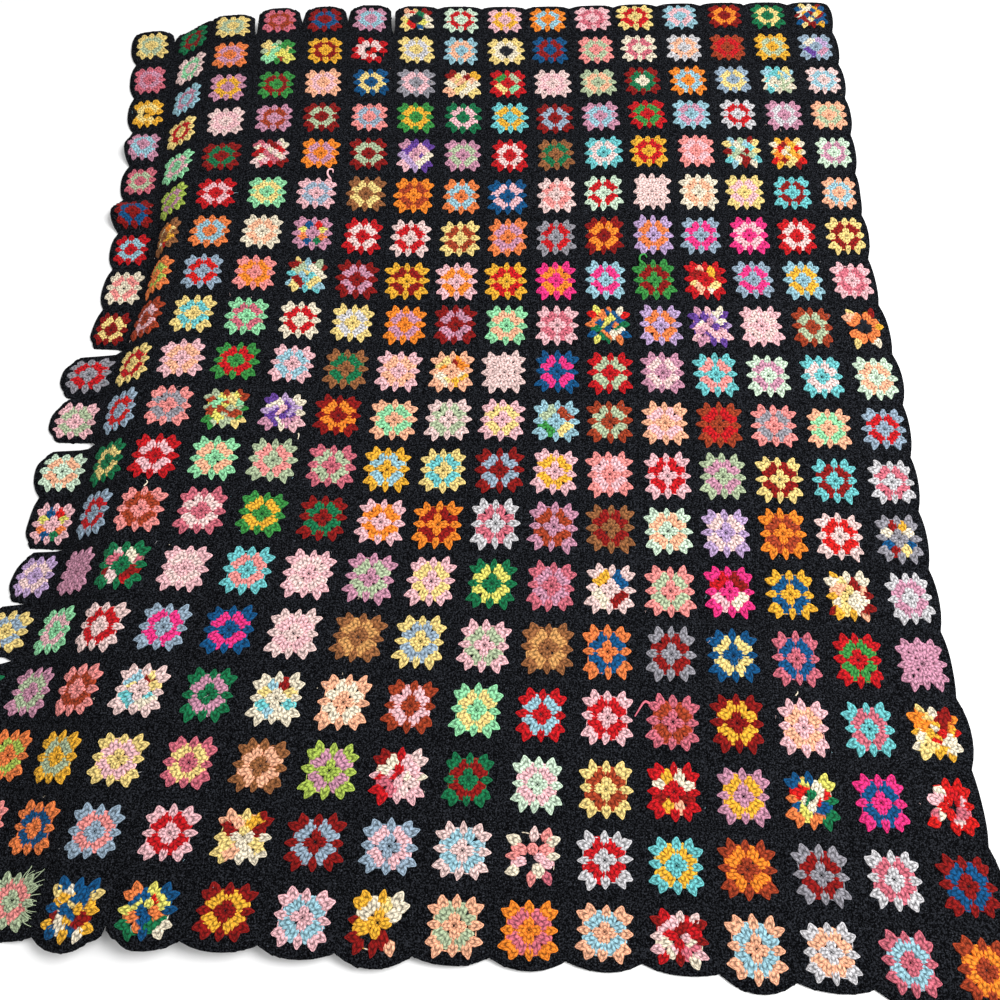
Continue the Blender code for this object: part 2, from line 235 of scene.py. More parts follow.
# Squares with a look of their own, counted from the left and from the far edge, from 1.
# "lost" is the share of their bunches that are worn away or sewn over in black.
ODD_FIELDS = ("column", "line", "outer", "second", "centre", "lost")
ODD_SQUARES = (
    (10, 18, "blossom", "blossom", "blossom", 0.34),
    (16, 17, "scarlet", "candy", "scarlet", 0.22),
    (8, 19, "bonfire", "bonfire", "gold", 0.25),
    (16, 9, "bonfire", "tangerine", "black", 0.15),
    (12, 3, "crimson", "emerald", "cream", 0.0),
    (9, 2, "butter", "cream", "black", 0.1),
    (3, 19, "sage", "salmon", "sage", 0.0),
    (7, 1, "bonfire", "carnival", "black", 0.2),
    (6, 2, "cherry", "blush", "scarlet", 0.15),
    (1, 3, "gold", "butter", "gold", 0.2),
    (5, 6, "baby pink", "grey blue", "baby pink", 0.0),
    (12, 8, "green", "crimson", "green", 0.0),
    (12, 16, "rose", "rust", "rose", 0.0),
)
HIDDEN_CHAINS = 0.35        # share of the outer round's chains that the black covers
DEAL_SEED = 19

# How uneven the handwork is, each as a usual spread.
UNEVEN_SEED = 41
UNEVEN_PLACE = 0.0009
UNEVEN_TURN = 1.6           # degrees
UNEVEN_SIZE = 0.022         # as a share
BLACK_FOLLOWS = 0.3         # share of its square's shift that a black round makes
PLUMP_LEAST = (0.88, 0.93, 0.88)        # bunches' width, length and height, as shares
PLUMP_MOST = (1.10, 1.08, 1.12)

# Ends of yarn that were never sewn in. Each comes from a square, counted as above, and its
# way is in coloured half widths across and along from the square's middle, and in metres up.
END_FIELDS = ("column", "line", "yarn", "thickness", "way")
LOOSE_ENDS = (
    (5, 6, "baby pink", 0.0022, (
        (0.66, 0.80, 0.004), (0.48, 1.06, 0.006), (0.52, 1.32, 0.007),
        (0.72, 1.36, 0.006), (0.74, 1.20, 0.004),
    )),
    (12, 8, "green", 0.0025, (
        (-0.58, 0.88, 0.004), (-0.72, 1.02, 0.006), (-0.68, 1.26, 0.007),
        (-0.46, 1.36, 0.006), (-0.34, 1.20, 0.004),
    )),
    (12, 16, "rose", 0.0021, (
        (-0.86, 0.60, 0.004), (-1.02, 0.66, 0.006), (-1.14, 0.58, 0.006),
        (-1.28, 0.36, 0.005), (-1.43, 0.12, 0.003),
    )),
    (5, 11, "cream", 0.0013, ((0.86, -1.06, 0.002), (0.90, -1.20, 0.005), (0.88, -1.34, 0.002))),
    (14, 16, "cream", 0.0010, ((-0.20, 1.10, 0.002), (-0.13, 1.18, 0.004), (-0.10, 1.26, 0.002))),
    (3, 13, "cream", 0.0012, ((-0.10, 1.02, 0.003), (0.02, 1.16, 0.005), (-0.06, 1.28, 0.003))),
)
FRAYED_SQUARE = (3, 19)     # column and line of the square that is coming undone
FRAY_STRANDS = 17
FRAY_YARN = "sage"
FRAY_FROM = -35.0           # degrees from the right, where its strands start
FRAY_ROUND = 115.0          # and how far round they go
FRAY_SCATTER = 8.0          # degrees that a strand strays from its place
FRAY_BEND = 0.06            # radians that it bends
FRAY_THICKNESS = 0.0007
FRAY_ROOT = ((0.72, 0.004), (0.92, 0.006))      # how far out in half widths, and how high
FRAY_END = (1.05, 1.22)     # the shortest and the longest strand's end
FRAY_END_HEIGHT = 0.003
STRAND_SLIMMING = 0.5       # share of a strand's thickness that is gone at its far end

LINT_FIBRES = 220
LINT_YARNS = ("cream", "blush", "pale grey", "sky")
LINT_SEED = 7
LINT_SPREAD = 1.1           # how far from its square's middle a fibre lies, in half widths
LINT_SHORTEST = 0.012       # half a fibre's length, in half widths,
LINT_LONGER = 0.11          # what the longest has more,
LINT_MOSTLY_SHORT = 3       # and how rare long ones are: 1 is as common as short ones
LINT_BEND = 0.04            # how far a fibre's middle strays, in half widths
LINT_HEIGHTS = (0.0035, 0.0048)         # of its ends and of its middle
LINT_THICKNESS = (0.00022, 0.00042)

BLACK_SHADE_AND_DARK_FLECKS = (0.0010, 0.0011, 0.0016)   # painted shade between the black strands, and the grain's dark flecks, as light
BLACK_HIGHLIGHT_AND_PALE_FLECKS = (0.0560, 0.0615, 0.0760)  # and a painted highlight on top of them, and the pale flecks
WOOL_ROUGHNESS = 0.92
SHEEN_ROUGHNESS = 0.6

# How a bunch is shaded, in the order of "spread": where a change starts and ends, and what
# it runs from and to. Its grooves, strands, eye, rim and tucked base get painted shade, and
# the noises give a random tone. Along, a bunch's base is 0 and its tip is 1. Across, its rim is 1.
GROOVE_SHADE_AFTER_BASE = (0.10, 0.35, 0.0, 1.0)
GROOVE_SHADE_BEFORE_TIP = (0.70, 0.95, 1.0, 0.0)
SHADE_BETWEEN_STRANDS = (-1.0, 0.0, 0.46, 1.0)        # painted shade between the strands, over the sine of the winding
EYE_PAINTED_SHADE = (0.2, 1.0, 1.0, 0.0)             # painted shade in the eye, over the distance from its middle
# Painted shade on a bunch's rim, where it dives under its neighbours, over its distance across.
RIM_PAINTED_SHADE = (0.62, 1.0, 0.0, 1.0)
COARSE_WEAR = (0.34, 0.66, 0.74, 1.18)          # this and the next three, over a noise
FINE_WEAR = (0.30, 0.70, 0.86, 1.10)
DYE_TONE = (0.30, 0.70, 1.13, 1.37)
BLACK_GRAIN = (0.46, 0.59, 0.0, 1.0)
TUCKED_SHADE_UNTIL = (0.02, 0.26)     # along, where the painted shade at a base, under the round inside, fades out
RIM_SHADE_UNTIL = (0.30, 0.75)        # along, where the painted shade on its rim fades out
COLOUR_CHANGE = (0.44, 0.56)    # along, where a variegated bunch changes colour
CHANGE_SLANT = 0.25             # how much earlier it comes at one rim
EYE_ALONG = 0.58                # the painted shade in the eye, the hole between a bunch's posts
EYE_REACH = (0.40, 0.20)        # across and along
POST_WANDER = 0.36              # how far the grooves between posts stray from side to side
STRAND_SLANT = 6.0              # radians that the strands are wound on from middle to rim

# How fine each noise is: features to the metre.
WANDER_SCALE = 300.0
COARSE_SCALE = 400.0
FINE_SCALE = 1100.0
DYE_SCALE = 55.0
GRAIN_SCALE = 430.0

GROUND_CELLS = 7            # cells across one square of the ground
GROUND_THICKNESS = 0.003
GROUND_LIFT = -0.0007       # the ground's middle, below the middle of the crochet
COLOUR_SUNK = -0.0006       # where the bunches start, from the middle of the crochet
BLACK_SUNK = -0.0014
SEAM_STITCHES = 7           # along one side of a square
SEAM_SIZE = (0.0044, 0.0150, 0.0040)    # width, length and height of a stitch
SEAM_SLANT = 0.20           # radians
SEAM_APART = 0.0032         # each line of seam stitches, from the seam's middle
EDGE_STITCHES = 9
EDGE_SIZE = (0.0085, 0.0125, 0.0050)
EDGE_SUNK = -0.0022
EDGE_INSET = 0.0030
EDGE_SHY = 0.001            # how far the last stitches stay from a square's corners
TURN_INWARDS = {            # of a stitch that points in from each side
    "near": 0.0, "right": 0.5 * math.pi, "far": math.pi, "left": -0.5 * math.pi,
}
TIP_HEIGHT = 0.3            # what is left of a bunch's height at its tip
SQUARENESS = 6.0            # power of a bunch's section: 2 is a plain arch, more is squarer
DIP_ALONG = 0.66            # where a bunch dips between its posts,
DIP_STEEPNESS = (3.5, 4.0)  # and how fast it rises again, across and along
BUNCH_WELD = 0.001          # closes a bunch's rim, before it gets its size
RUFFLE = 0.0023             # how far stitches are pulled out of shape, from end to end of the range
RUFFLE_SPAN = 0.006         # and over what distance the pull changes
WELD = 0.0002               # joins the ground's patches

FLOOR_REACH = 6.0
FLOOR_GREY = 0.90
FLOOR_ROUGHNESS = 0.85
STUDIO_STRENGTH = 0.58      # light from all round
LAMP_FIELDS = ("name", "place", "size", "power")
LAMPS = (
    ("main_softbox", (1.8, 0.1, 2.7), 1.6, 122.0),
    ("fill_softbox", (-2.2, -1.0, 2.6), 2.4, 12.0),
)
CAMERA_PLACE = (0.112, -0.787, 1.353)   # at a standing person's chest, over the near edge
CAMERA_TURN = (23.0, 0.1, 0.7)          # degrees
CAMERA_LENS = 32.4                      # millimetres, on a sensor
CAMERA_SENSOR = 36.0                    # this wide


def rows_of(fields, table):
    """Turns a table into one dictionary a row, so that its columns are read by name."""
    return [dict(zip(fields, row)) for row in table]


def slits_of(side_name):
    """The slits that open one side."""
    return [slit for slit in rows_of(SLIT_FIELDS, SLITS) if slit["side"] == side_name]


def side_layout(side_name):
    """If a side runs lengthwise, if it is counted from, and the squares along it and in from it."""
    lengthwise = side_name in ("left", "right")
    starts_here = side_name in ("left", "near")
    count, lines = (ROWS, COLUMNS) if lengthwise else (COLUMNS, ROWS)
    return lengthwise, starts_here, count, lines


def square_at(column, line):
    """A square's number, from its column and its line as the tables count them."""
    return (ROWS - line) * COLUMNS + column - 1


def square_middle(square):
    """The flat middle of a square."""
    return np.array([square % COLUMNS + 0.5, square // COLUMNS + 0.5]) * SQUARE


# ---- How the flat crochet lies ----


def half_gap(slit, depth, lip):
    """Half the width of a slit at depths in from the nominal edge, closing past its root."""
    open_part = np.clip(1.0 - depth / slit["depth"], 0.0, None) ** SLIT_CURVE
    wedge = slit["root"] + (slit["mouth"] - slit["root"]) * open_part
    to_round = np.clip(TAB_CORNER + lip - depth, 0.0, TAB_CORNER)
    gap = 0.5 * wedge + TAB_CORNER - np.sqrt(TAB_CORNER**2 - to_round**2)
    return gap * np.clip(1.0 - (depth - slit["depth"]) / ROOT_FADE, 0.0, 1.0)


def side_reaches(side_name, count, open_seams, square, part):
    """How far each point's border square reaches out, blended into a joined neighbour's."""
    reaches = np.zeros(count)
    for row in rows_of(REACH_FIELDS, REACHES):
        if row["side"] == side_name:
            reaches[row["square"]] = row["reach"]
    ahead = part > 0.5
    neighbour = np.clip(np.where(ahead, square + 1, square - 1), 0, count - 1)
    joined = ~np.isin(np.where(ahead, square + 1, square), open_seams)
    share = np.where(joined, 2.0 * (np.clip(part, 0.0, 1.0) - 0.5) ** 2, 0.0)
    return reaches[square] + (reaches[neighbour] - reaches[square]) * share


def drawn_in(points, column, row):
    """Draws flat points of the border squares to the blanket's outline, and opens the slits."""
    moved = points.copy()
    for side in rows_of(SIDE_FIELDS, SIDES):
        lengthwise, starts_here, count, lines = side_layout(side["side"])
        beside, inwards = (1, 0) if lengthwise else (0, 1)
        square, line = (row, column) if lengthwise else (column, row)
        border = line == (0 if starts_here else lines - 1)
        depth = points[:, inwards] if starts_here else lines * SQUARE - points[:, inwards]
        part = points[:, beside] / SQUARE - square
        slits = slits_of(side["side"])

        in_corner = ((square == 0) & (part < 0.5)) | ((square == count - 1) & (part > 0.5))
        scallop = np.where(in_corner, CORNER_SCALLOP, side["scallop"])
        lip = side["inset"] + scallop * np.clip(np.abs(2.0 * part - 1.0), 0.0, 1.0) ** side["fullness"]
        drawn = depth + lip * np.clip(1.0 - depth / EDGE_FADE, 0.0, 1.0)
        reach = side_reaches(side["side"], count, [slit["seam"] for slit in slits], square, part)
        pushed = drawn - reach * np.clip(1.0 - drawn / SQUARE, 0.0, 1.0)
        place = pushed if starts_here else lines * SQUARE - pushed
        moved[:, inwards] += np.where(border, place - points[:, inwards], 0.0)
        for slit in slits:
            for at, away in ((slit["seam"] - 1, -1.0), (slit["seam"], 1.0)):
                near_seam = border & (square == at)
                distance = np.abs(points[:, beside] - slit["seam"] * SQUARE)
                fading = np.clip(1.0 - distance / SLIT_FADE, 0.0, 1.0)
                gap = half_gap(slit, drawn, side["inset"] + side["scallop"]) * fading
                moved[:, beside] += np.where(near_seam, away * gap, 0.0)
    return moved


def through_sections(field, along):
    """One column of SECTIONS as a smooth curve along the blanket."""
    sections = rows_of(SECTION_FIELDS, SECTIONS)
    places = np.array([section["along"] for section in sections])
    values = np.array([section[field] for section in sections])
    slopes = np.gradient(values, places)
    i = np.clip(np.searchsorted(places, along) - 1, 0, len(places) - 2)
    gap = places[i + 1] - places[i]
    t = (along - places[i]) / gap
    ends = (2 * t**3 - 3 * t**2 + 1) * values[i] + (3 * t**2 - 2 * t**3) * values[i + 1]
    return ends + gap * ((t**3 - 2 * t**2 + t) * slopes[i] + (t**3 - t**2) * slopes[i + 1])


def lay_heights(across, along):
    """How far the crochet is lifted off the floor, for each row and column."""
    height, foot, crest, toe = (
        through_sections(field, along)[:, None] for field in ("height", "foot", "crest", "toe")
    )
    rising = np.clip((across - foot) / (crest - foot), 0.0, 1.0)
    falling = np.clip((across - crest) / (toe - crest), 0.0, 1.0)
    climbed = rising**CLIMB / (rising**CLIMB + (1.0 - rising) ** CLIMB)
    share = np.where(across < crest, climbed, 0.5 + 0.5 * np.cos(np.pi * falling))
    lift = height * share
    for swell in rows_of(SWELL_FIELDS, SWELLS):
        reach = np.hypot(
            (across - swell["across"]) / swell["reach_across"],
            (along[:, None] - swell["along"]) / swell["reach_along"],
        )
        lift += swell["height"] * (0.5 + 0.5 * np.cos(np.pi * np.clip(reach, 0.0, 1.0)))
    return lift


def lay_table():
    """Where the middle of the crochet lies, and which way it faces, on a fine grid."""
    across = np.arange(-LAY_MARGIN, COLUMNS + LAY_MARGIN + LAY_STEP, LAY_STEP)
    along = np.arange(-LAY_MARGIN, ROWS + LAY_MARGIN + LAY_STEP, LAY_STEP)
    lift = lay_heights(across, along)
    pulled_out = SQUARE * LAY_STEP * through_sections("width", along)[:, None]
    climb = np.diff(lift, axis=1)
    run = np.sqrt(np.maximum(pulled_out**2 - climb**2, (LEAST_RUN * pulled_out) ** 2))
    x = np.concatenate([np.zeros((len(along), 1)), np.cumsum(run, axis=1)], axis=1)
    left_column = int(round(LAY_MARGIN / LAY_STEP))
    x += through_sections("left_x", along)[:, None] - x[:, left_column : left_column + 1]
    part = across / COLUMNS
    ahead = through_sections("left_y", along)[:, None] * (1 - part) * (1 - 2 * part)
    ahead += through_sections("middle_y", along)[:, None] * 4 * part * (1 - part)
    ahead += through_sections("right_y", along)[:, None] * part * (2 * part - 1)
    y = (along[:, None] - 0.5 * ROWS) * SQUARE + ahead
    places = np.stack([x, y, lift], axis=2)
    facing = np.cross(np.gradient(places, axis=1), np.gradient(places, axis=0))
    facing /= np.linalg.norm(facing, axis=2, keepdims=True)
    return places, facing


def read_table(table, points):
    """The table's value at each flat point in squares, between its four nearest entries."""
    column = np.clip((points[:, 0] + LAY_MARGIN) / LAY_STEP, 0, table.shape[1] - 1.001)
    row = np.clip((points[:, 1] + LAY_MARGIN) / LAY_STEP, 0, table.shape[0] - 1.001)
    i = np.floor(column).astype(int)
    j = np.floor(row).astype(int)
    right = (column - i)[:, None]
    ahead = (row - j)[:, None]
    near = table[j, i] * (1 - right) + table[j, i + 1] * right
    far = table[j + 1, i] * (1 - right) + table[j + 1, i + 1] * right
    return near * (1 - ahead) + far * ahead


def box_middle():
    """The middle of the box round the laid crochet, which is moved to the origin."""
    steps = np.linspace(0.0, 1.0, BOX_STEPS)
    grid = np.meshgrid(np.arange(COLUMNS), np.arange(ROWS), steps, steps, indexing="ij")
    column, row, right, ahead = (places.ravel() for places in grid)
    flat = np.stack([column + right, row + ahead], axis=1) * SQUARE
    points = drawn_in(flat, column, row) / SQUARE
    middle = read_table(PLACES, points)
    half = read_table(FACING, points) * (0.5 * THICKNESS)
    faces = np.concatenate([middle + half, middle - half])[:, :2]
    return 0.5 * (faces.min(axis=0) + faces.max(axis=0))


PLACES, FACING = lay_table()
LAY_CENTRE = box_middle()


def laid(flat, square):
    """Flat points, with their heights over the middle of the crochet, laid on the fold."""
    points = drawn_in(flat[:, :2], square % COLUMNS, square // COLUMNS) / SQUARE
    middle = read_table(PLACES, points)
    middle[:, :2] -= LAY_CENTRE
    middle[:, 2] += 0.5 * THICKNESS
    return middle + read_table(FACING, points) * flat[:, 2:]


def lay(mesh):
    """Lays a flat piece of crochet, in place."""
    count = len(mesh.vertices)
    flat = np.empty(3 * count)
    mesh.vertices.foreach_get("co", flat)
    square = np.empty(count, dtype=np.int32)
    mesh.attributes["square"].data.foreach_get("value", square)
    mesh.vertices.foreach_set("co", laid(flat.reshape(-1, 3), square).ravel())
    mesh.update()


# ---- Which yarn each square is made of ----


def linear(colour):
    """A colour as the eye sees it, turned into light by the usual screen curve."""
    seen = np.asarray(colour, dtype=float)
    return np.where(seen <= 0.04045, seen / 12.92, ((seen + 0.055) / 1.055) ** 2.4)


def deal_squares():
    """Every square's yarns for outer round, second round and centre, and its lost share."""
    squares = []
    for scrap in rows_of(SCRAP_FIELDS, SCRAPS):
        for n in range(scrap["squares"]):
            second = scrap["second"][n % len(scrap["second"])]
            squares.append([scrap["outer"], second, scrap["outer"], 0.0])
    rng = np.random.default_rng(DEAL_SEED)
    rng.shuffle(squares)
    turn = 0
    for name in SCRAPS_LEFT:
        for _ in range(SQUARES_A_YARN):
            squares[turn][:3] = [name, name, name]
            turn += 1
        for _ in range(SQUARES_A_SECOND):
            squares[turn][1] = name
            turn += 1
    rng.shuffle(squares)
    for odd in rows_of(ODD_FIELDS, ODD_SQUARES):
        place = square_at(odd["column"], odd["line"])
        squares[place] = [odd["outer"], odd["second"], odd["centre"], odd["lost"]]
    part_like_neighbours(squares, rng)
    return squares


def part_like_neighbours(squares, rng):
    """Swaps squares until few lie beside another of the same outer yarn."""
    odd = {square_at(row["column"], row["line"]) for row in rows_of(ODD_FIELDS, ODD_SQUARES)}
    free = [n for n in range(COLUMNS * ROWS) if n not in odd]

    def alike(place):
        beside = []
        if place % COLUMNS:
            beside.append(place - 1)
        if place % COLUMNS < COLUMNS - 1:
            beside.append(place + 1)
        if place >= COLUMNS:
            beside.append(place - COLUMNS)
        if place < (ROWS - 1) * COLUMNS:
            beside.append(place + COLUMNS)
        return sum(squares[place][0] == squares[other][0] for other in beside)

    for place in free:
        for _ in range(SWAP_TRIES):
            if not alike(place):
                break
            other = free[rng.integers(len(free))]
            before = alike(place) + alike(other)
            squares[place], squares[other] = squares[other], squares[place]
            if alike(place) + alike(other) >= before:
                squares[place], squares[other] = squares[other], squares[place]


def yarn_colours(name, step):
    """A bunch's colours at its base and its tip, "step" colours along the yarn."""
    if name not in VARIEGATED:
        return linear(YARNS[name]), linear(YARNS[name])
    run = VARIEGATED[name]
    start = int(step) % len(run)
    end = start if step % 1.0 < RUN_HOLD else (start + 1) % len(run)
    return linear(YARNS[run[start]]), linear(YARNS[run[end]])


# ---- Where the stitches stand ----


def uneven_squares():
    """How far each hand-made square is shifted, turned and stretched."""
    rng = np.random.default_rng(UNEVEN_SEED)
    count = COLUMNS * ROWS
    shift = rng.normal(0.0, UNEVEN_PLACE, (count, 2))
    turn = np.radians(rng.normal(0.0, UNEVEN_TURN, count))
    line, column = ROWS - np.arange(count) // COLUMNS, 1 + np.arange(count) % COLUMNS
    worked = np.interp(line, *zip(*LINE_SIZES)) * np.interp(column, *zip(*COLUMN_SIZES))
    size = rng.normal(1.0, UNEVEN_SIZE, (count, 2)) * worked[:, None] * WORKED_TALL
    return shift, turn, size


def bunch_places(round_name, squares):
    """Where a round's bunches stand, how they are turned and stretched, and their yarn."""
    shift, lean, size = uneven_squares()
    rng = np.random.default_rng(UNEVEN_SEED + list(ROUNDS).index(round_name))
    black = round_name == "black"
    sunk = BLACK_SUNK if black else COLOUR_SUNK
    hidden = HIDDEN_CHAINS if round_name == "chain" else 0.0
    quarter_bunches = rows_of(BUNCH_FIELDS, ROUNDS[round_name])
    bunches = [(quarter, bunch) for quarter in range(4) for bunch in quarter_bunches]
    rows = []
    for square in range(COLUMNS * ROWS):
        middle = square_middle(square) + shift[square] * (BLACK_FOLLOWS if black else 1.0)
        half_size = MOTIF * (np.ones(2) if black else size[square])
        first_step = rng.uniform(0.0, RUN_COLOURS)
        for n, (quarter, bunch) in enumerate(bunches):
            angle = 0.5 * math.pi * quarter + (0.0 if black else lean[square])
            cosine, sine = math.cos(angle), math.sin(angle)
            spin = np.array([[cosine, -sine], [sine, cosine]])
            base, tip = (spin @ np.array(bunch[end]) * half_size for end in ("base", "tip"))
            yarn = yarn_tip = (0.0, 0.0, 0.0)
            if not black:
                name = squares[square][ROUND_YARN[round_name]]
                yarn, yarn_tip = yarn_colours(name, first_step + RUN_STEP * n)
                if rng.random() < max(squares[square][3], hidden):
                    continue
            away = tip - base
            rows.append({
                "co": (*(middle + base), sunk),
                "turn": math.atan2(-away[0], away[1]),
                "stretch": (bunch["width"] * MOTIF, np.linalg.norm(away), CROWNS[round_name]),
                "square": square,
                "yarn": (*yarn, 1.0),
                "yarn_tip": (*yarn_tip, 1.0),
            })
    return rows


def seam_places():
    """The stitches that join the squares, slanting along every closed seam."""
    half = 0.5 * SEAM_SIZE[1]
    clear_of = {
        (slit["side"], slit["seam"]): slit["depth"] + half for slit in rows_of(SLIT_FIELDS, SLITS)
    }
    rows = []
    for square in range(COLUMNS * ROWS):
        column, row = square % COLUMNS, square // COLUMNS
        for n, lip in ((n, lip) for n in range(SEAM_STITCHES) for lip in (-1.0, 1.0)):
            place = (n + 0.5) / SEAM_STITCHES
            off, slant = lip * SEAM_APART, lip * SEAM_SLANT
            if column:                                  # the seam on the square's left
                from_near = (row + place) * SQUARE
                depth = from_near if row == 0 else ROWS * SQUARE - from_near
                side = "near" if row == 0 else "far" if row == ROWS - 1 else None
                if depth > clear_of.get((side, column), 0.0):
                    rows.append((column * SQUARE + off, from_near - half, slant, square - (lip < 0.0)))
            if row:                                     # and on its near side
                from_left = (column + place) * SQUARE
                depth = from_left if column == 0 else COLUMNS * SQUARE - from_left
                side = "left" if column == 0 else "right" if column == COLUMNS - 1 else None
                if depth > clear_of.get((side, row), 0.0):
                    under = square - (COLUMNS if lip < 0.0 else 0)
                    rows.append((from_left + half, row * SQUARE + off, slant + 0.5 * math.pi, under))
    return [
        {"co": (x, y, BLACK_SUNK), "turn": turn, "stretch": SEAM_SIZE, "square": square}
        for x, y, turn, square in rows
    ]


def edge_stitch(side_name, along_side, depth, turn, at):
    """One stitch, placed along and in from a side, on the border square it is worked on."""
    lengthwise, starts_here, _, lines = side_layout(side_name)
    inwards = depth if starts_here else lines * SQUARE - depth
    line = 0 if starts_here else lines - 1
    point = (inwards, along_side) if lengthwise else (along_side, inwards)
    square = at * COLUMNS + line if lengthwise else line * COLUMNS + at
    return {"co": (*point, EDGE_SUNK), "turn": turn, "stretch": EDGE_SIZE, "square": square}


def edge_places():
    """The stitches of the last chain, along every free edge and down both lips of each slit."""
    starts = np.linspace(EDGE_SHY, SQUARE - EDGE_SIZE[1] - EDGE_SHY, EDGE_STITCHES)
    rows = []
    for side_name, turn_inwards in TURN_INWARDS.items():
        lengthwise, _, count, _ = side_layout(side_name)
        turn_along = 0.0 if lengthwise else -0.5 * math.pi
        for at in range(count):
            for start in starts:
                rows.append(edge_stitch(side_name, at * SQUARE + start, EDGE_INSET, turn_along, at))
        for slit in slits_of(side_name):
            last = slit["depth"] - 0.5 * EDGE_SIZE[1]
            for depth in np.arange(EDGE_SHY, last, SQUARE / EDGE_STITCHES):
                for at, away in ((slit["seam"] - 1, -1.0), (slit["seam"], 1.0)):
                    lip = slit["seam"] * SQUARE + away * EDGE_INSET
                    rows.append(edge_stitch(side_name, lip, depth, turn_inwards, at))
    return rows


def fray_strands():
    """Strands that stand off the right and far sides of the square that is coming undone."""
    rng = np.random.default_rng(LINT_SEED)
    column, line = FRAYED_SQUARE
    strands = []
    for n in range(FRAY_STRANDS):
        scattered = rng.uniform(-FRAY_SCATTER, FRAY_SCATTER)
        angle = math.radians(FRAY_FROM + FRAY_ROUND * n / FRAY_STRANDS + scattered)
        edge = 1.0 / max(abs(math.cos(angle)), abs(math.sin(angle)))
        way = []
        for reach, height in (*FRAY_ROOT, (rng.uniform(*FRAY_END), FRAY_END_HEIGHT)):
            lean = angle + rng.uniform(-FRAY_BEND, FRAY_BEND)
            way.append((edge * reach * math.cos(lean), edge * reach * math.sin(lean), height))
        strands.append((column, line, FRAY_YARN, FRAY_THICKNESS, way))
    return strands


def lint_strands():
    """Short pale fibres that cling to the crochet."""
    rng = np.random.default_rng(LINT_SEED)
    end_height, middle_height = LINT_HEIGHTS
    strands = []
    for n in range(LINT_FIBRES):
        column, line = rng.integers(1, COLUMNS + 1), rng.integers(1, ROWS + 1)
        middle = rng.uniform(-LINT_SPREAD, LINT_SPREAD, 2)
        half_length = LINT_SHORTEST + LINT_LONGER * rng.random() ** LINT_MOSTLY_SHORT
        half = half_length * np.array([math.cos(n), math.sin(n)])
        bend = rng.uniform(-LINT_BEND, LINT_BEND, 2)
        way = [
            (*(middle - half), end_height), (*(middle + bend), middle_height),
            (*(middle + half), end_height),
        ]
        yarn = LINT_YARNS[n % len(LINT_YARNS)]
        strands.append((column, line, yarn, rng.uniform(*LINT_THICKNESS), way))
    return strands


def strands_object(name, strands):
    """Lines that carry what loose strands need to know, thinner towards their far ends."""
    points, edges, marks = [], [], []
    for strand in rows_of(END_FIELDS, strands):
        square = square_at(strand["column"], strand["line"])
        middle = square_middle(square)
        yarn = (*linear(YARNS[strand["yarn"]]), 1.0)
        for n, (across, along, height) in enumerate(strand["way"]):
            if n:
                edges.append((len(points) - 1, len(points)))
            points.append((*(middle + MOTIF * np.array([across, along])), height))
            slimmer = 1.0 - STRAND_SLIMMING * n / (len(strand["way"]) - 1)
            marks.append((square, strand["thickness"] * slimmer, yarn))
    mesh = bpy.data.meshes.new(name)
    mesh.from_pydata(points, edges, [])
    squares, thicknesses, yarns = (np.array(values) for values in zip(*marks))
    mesh.attributes.new("square", "INT", "POINT").data.foreach_set("value", squares)
    mesh.attributes.new("thickness", "FLOAT", "POINT").data.foreach_set("value", thicknesses)
    for field in ("yarn", "yarn_tip"):
        mesh.attributes.new(field, "FLOAT_COLOR", "POINT").data.foreach_set("color", yarns.ravel())
    middles = np.tile((0.0, 0.5, 0.0), len(points))
    mesh.attributes.new("stitch", "FLOAT_VECTOR", "POINT").data.foreach_set("vector", middles)
    piece = bpy.data.objects.new(name, mesh)
    bpy.context.scene.collection.objects.link(piece)
    return piece


def places_object(name, rows):
    """A cloud of points that carries what each stitch needs to know."""
    mesh = bpy.data.meshes.new(name)
    mesh.from_pydata([row["co"] for row in rows], [], [])
    for field, kind, slot in (
        ("turn", "FLOAT", "value"), ("square", "INT", "value"),
        ("stretch", "FLOAT_VECTOR", "vector"),
        ("yarn", "FLOAT_COLOR", "color"), ("yarn_tip", "FLOAT_COLOR", "color"),
    ):
        if field in rows[0]:
            values = np.array([row[field] for row in rows])
            mesh.attributes.new(field, kind, "POINT").data.foreach_set(slot, values.ravel())
    piece = bpy.data.objects.new(name, mesh)
    bpy.context.scene.collection.objects.link(piece)
    return piece


# ---- Node trees ----


def node(tree, kind, inputs=None, **settings):
    """Adds a node with its settings, and fills or links its inputs."""
    new = tree.nodes.new(kind)
    for name, value in settings.items():
        setattr(new, name, value)
    for name, value in (inputs or {}).items():
        if isinstance(value, bpy.types.NodeSocket):
            tree.links.new(value, new.inputs[name])
        else:
            new.inputs[name].default_value = value
    return new


def calc(tree, operation, *values):
    """One step of arithmetic on one, two or three values."""
    return node(tree, "ShaderNodeMath", dict(enumerate(values)), operation=operation).outputs[0]


def product(tree, *values):
    """Several values multiplied together."""
    result = values[0]
    for value in values[1:]:
        result = calc(tree, "MULTIPLY", result, value)
    return result


def left_by(tree, share):
    """What a share leaves of 1."""
    return calc(tree, "SUBTRACT", 1.0, share)


def half_wave(tree, angle):
    """From 0 to 1 and back as the angle goes once round."""
    return calc(tree, "MULTIPLY_ADD", calc(tree, "COSINE", angle), -0.5, 0.5)


def vector_calc(tree, operation, values):
    """One step of arithmetic on vectors."""
    return node(tree, "ShaderNodeVectorMath", values, operation=operation).outputs[0]


def combined(tree, **parts):
    """A vector from its parts."""
    return node(tree, "ShaderNodeCombineXYZ", parts).outputs[0]


def spread(tree, value, start, end, first, last, shape="LINEAR"):
    """Runs from first to last while value goes from start to end, and stays there."""
    limits = {"Value": value, "From Min": start, "From Max": end, "To Min": first, "To Max": last}
    return node(tree, "ShaderNodeMapRange", limits, interpolation_type=shape).outputs["Result"]


